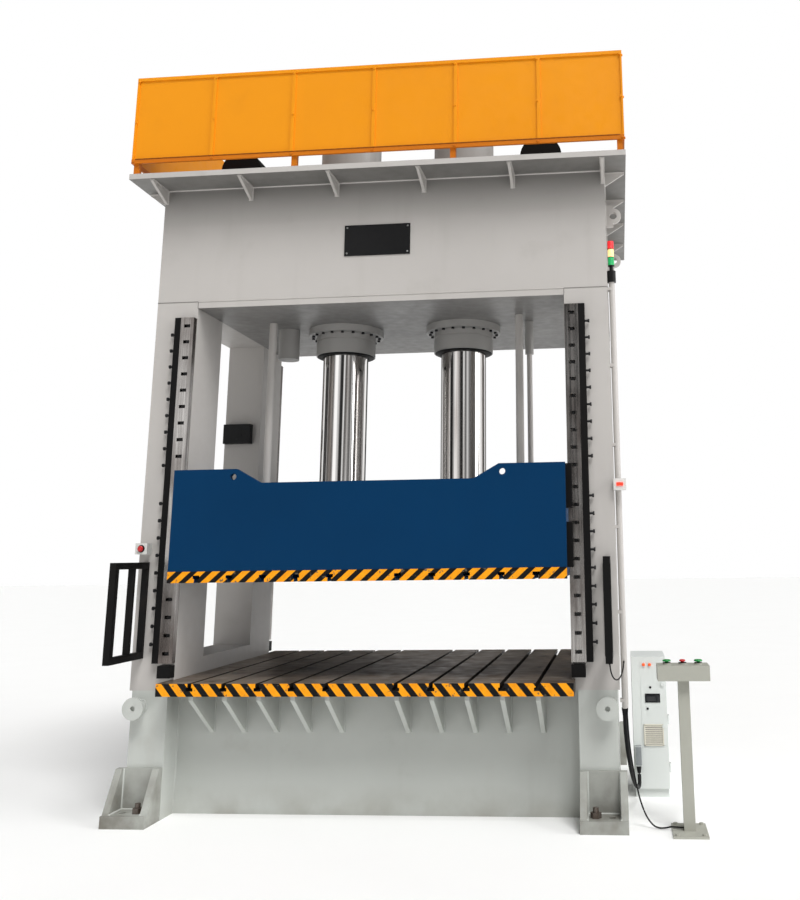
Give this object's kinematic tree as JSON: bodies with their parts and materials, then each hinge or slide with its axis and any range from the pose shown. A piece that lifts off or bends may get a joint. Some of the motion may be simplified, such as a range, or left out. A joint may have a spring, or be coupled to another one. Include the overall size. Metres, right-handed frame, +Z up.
{
  "type": "hydraulic moulding press",
  "caption": "Straight-side hydraulic moulding press: slotted table, guided slide on chrome plungers, guarded top platform, push-button console and side control cabinet.",
  "frame": {"origin": "on the floor under the middle of the table, between the four legs", "axes": "+Z up along the plungers, -Y towards the operator, +X to the operator's right, where the console stands"},
  "size_m": [4.069, 2.63, 5.265],
  "materials": {
    "frame_paint": "satin",
    "base_paint": "satin",
    "slide_paint": "satin",
    "guard_paint": "satin",
    "hazard": "satin",
    "table_steel": "worn",
    "rail_steel": "ground",
    "chrome": "polished",
    "grey_steel": "turned",
    "dark_steel": "oiled",
    "black_paint": "satin",
    "pump_blue": "satin",
    "console_paint": "satin",
    "cabinet_paint": "satin",
    "box_plastic": "matte",
    "black_plastic": "matte",
    "green_plastic": "gloss",
    "red_plastic": "gloss",
    "lamp_plastic": "gloss",
    "cable_rubber": "matte"
  },
  "bodies": {
    "frame": {"base": "base_paint", "feet": "base_paint", "jack_bolts": "dark_steel", "trunnions": "base_paint", "bolster": "table_steel", "bolster_ribs": "base_paint", "bolster_strip": "hazard", "upright_left": "frame_paint", "upright_right": "frame_paint", "crown": "frame_paint", "tie_rods": "dark_steel", "tie_nuts": "dark_steel", "platform": "frame_paint", "gussets": "frame_paint", "lifting_lugs": "frame_paint", "cylinders": "frame_paint", "glands": "frame_paint", "flange_screws": "dark_steel", "gib_plates": "rail_steel", "gib_bars": "black_paint", "gib_bolts": "dark_steel", "gib_screws": "dark_steel", "gib_stops": "black_paint", "buffers": "frame_paint", "guard_front": "guard_paint", "guard_left": "guard_paint", "guard_right": "guard_paint", "guard_rear": "guard_paint", "guard_posts": "guard_paint", "oil_tank": "pump_blue", "motors": "pump_blue", "pumps": "grey_steel", "manifold": "grey_steel", "oil_pipes": "grey_steel", "curtain_left": "black_paint", "curtain_right": "black_paint", "conduit": "frame_paint", "signal_tower": "black_plastic", "signal_lamps": "lamp_plastic", "estop_box": "box_plastic", "meter_box": "box_plastic", "reader_box": "black_plastic", "pedestal": "console_paint", "console": "console_paint", "cabinet": "cabinet_paint", "curtain_lead": "cable_rubber", "power_cable": "cable_rubber", "pedestal_cable": "cable_rubber"},
    "slide": {"slide": "slide_paint", "slide_strips": "hazard", "slide_shoes": "black_paint", "rams": "chrome", "ram_clamps": "grey_steel", "lock_rods": "frame_paint"},
    "button_left": {"button_left": "green_plastic"},
    "button_right": {"button_right": "green_plastic"},
    "button_stop": {"button_stop": "red_plastic"},
    "estop_knob": {"estop_knob": "red_plastic"},
    "rocker": {"rocker": "red_plastic"},
    "cabinet_door": {"cabinet_door": "cabinet_paint"}
  },
  "joints": [
    {"name": "slide_travel", "type": "slide", "parent": "frame", "child": "slide", "axis": [0, 0, 1], "range_m": [-0.6, 0.84]},
    {"name": "button_left_push", "type": "slide", "parent": "frame", "child": "button_left", "axis": [0, 0, -1], "range_m": [0, 0.006], "stiffness_N_per_m": 2000, "springref_m": -0.002},
    {"name": "button_right_push", "type": "slide", "parent": "frame", "child": "button_right", "axis": [0, 0, -1], "range_m": [0, 0.006], "stiffness_N_per_m": 2000, "springref_m": -0.002},
    {"name": "button_stop_push", "type": "slide", "parent": "frame", "child": "button_stop", "axis": [0, 0, -1], "range_m": [0, 0.006], "stiffness_N_per_m": 2000, "springref_m": -0.002},
    {"name": "estop_knob_push", "type": "slide", "parent": "frame", "child": "estop_knob", "axis": [0, 1, 0], "range_m": [0, 0.006], "stiffness_N_per_m": 2000, "springref_m": -0.002},
    {"name": "rocker_push", "type": "slide", "parent": "frame", "child": "rocker", "axis": [0, 1, 0], "range_m": [0, 0.006], "stiffness_N_per_m": 2000, "springref_m": -0.002},
    {"name": "door_hinge", "type": "hinge", "parent": "frame", "child": "cabinet_door", "pos_m": [2.008, -0.1508, 0.5], "axis": [0, 0, 1], "range_deg": [0, 110]}
  ]
}
